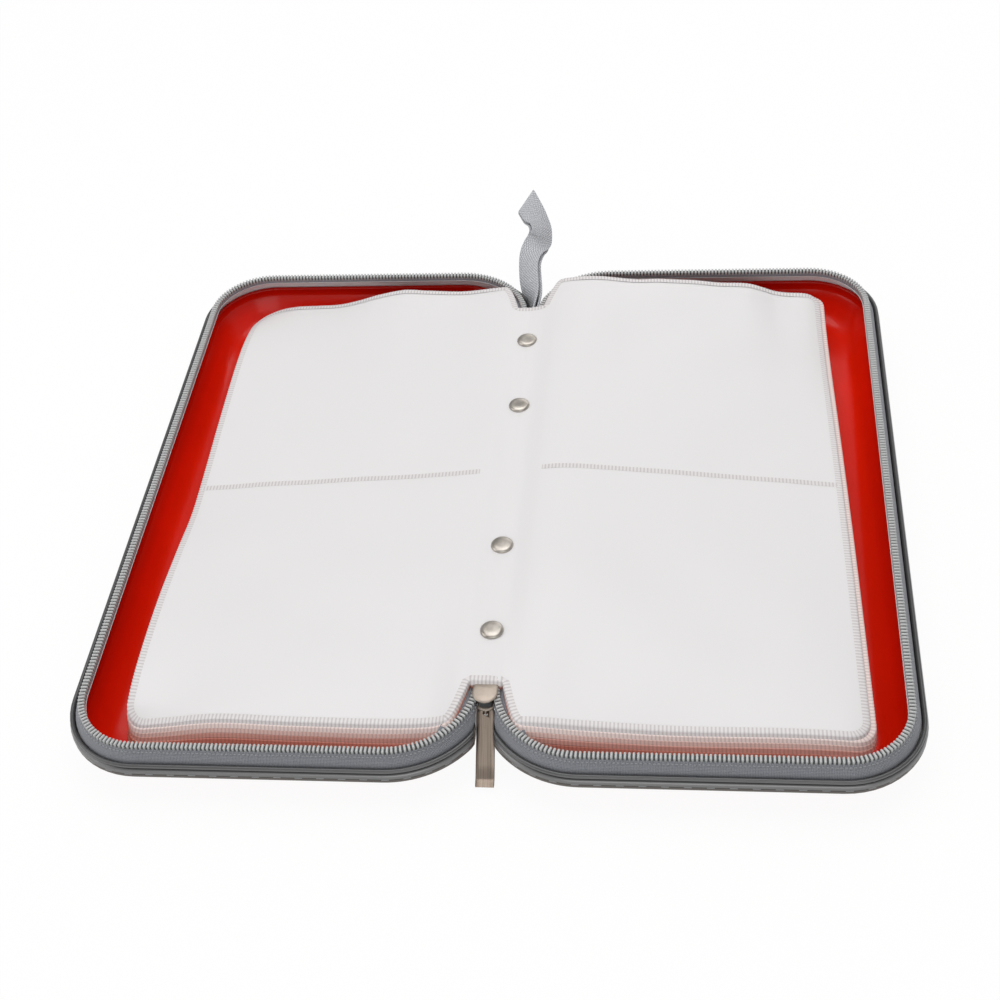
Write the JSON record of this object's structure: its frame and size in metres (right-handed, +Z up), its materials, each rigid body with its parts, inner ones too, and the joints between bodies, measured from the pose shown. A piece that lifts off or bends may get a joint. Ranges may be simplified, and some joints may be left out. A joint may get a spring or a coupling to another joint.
{
  "type": "disc storage case",
  "caption": "Zip-round clamshell case for compact discs, open flat: two moulded trays, riveted pocket pages, slider with pull tab and a wrist loop.",
  "frame": {"origin": "on the table under the middle of the open case, halfway between its near edge and the tip of the wrist strap", "axes": "+Z up, +Y along the spine from the slider towards the wrist strap, +X across the spine to the right-hand tray"},
  "size_m": [0.3178, 0.334, 0.0483],
  "materials": {
    "red_shell": "glossy moulded, slightly translucent",
    "rim_band": "semi-gloss moulded band with stitches",
    "zip_tape": "woven tape",
    "zip_teeth": "satin coil",
    "spine_fabric": "coated woven web",
    "page_film": "clear film on white felt, welded edges",
    "nickel": "polished nickel plate",
    "webbing": "ribbed webbing"
  },
  "bodies": {
    "spine": {"spine_web": "spine_fabric", "page_binding": "page_film", "rivet_cap_1": "nickel", "rivet_cap_2": "nickel", "rivet_cap_3": "nickel", "rivet_cap_4": "nickel", "rivet_post_1": "nickel", "rivet_post_2": "nickel", "rivet_post_3": "nickel", "rivet_post_4": "nickel", "zip_slider": "nickel", "wrist_strap": "webbing"},
    "left_cover": {"left_cover_panel": "red_shell", "left_rim_frame": "rim_band", "left_zipper_tape": "zip_tape", "left_zipper_teeth": "zip_teeth", "left_pages": "page_film"},
    "right_cover": {"right_cover_panel": "red_shell", "right_rim_frame": "rim_band", "right_zipper_tape": "zip_tape", "right_zipper_teeth": "zip_teeth", "right_pages": "page_film"},
    "pull": {"pull_tab": "nickel"}
  },
  "joints": [
    {"name": "left_cover_hinge", "type": "hinge", "parent": "spine", "child": "left_cover", "pos_m": [-0.0055, -0.01966, 0.02015], "axis": [0, 1, 0], "range_deg": [0, 90], "deforming": ["left_pages", "wrist_strap"]},
    {"name": "right_cover_hinge", "type": "hinge", "parent": "spine", "child": "right_cover", "pos_m": [0.0055, -0.01966, 0.02015], "axis": [0, -1, 0], "range_deg": [0, 90], "deforming": ["right_pages", "wrist_strap"]},
    {"name": "pull_tab_hinge", "type": "hinge", "parent": "spine", "child": "pull", "pos_m": [0, -0.13732, 0.0195], "axis": [1, 0, 0], "range_deg": [-32, 130]}
  ]
}
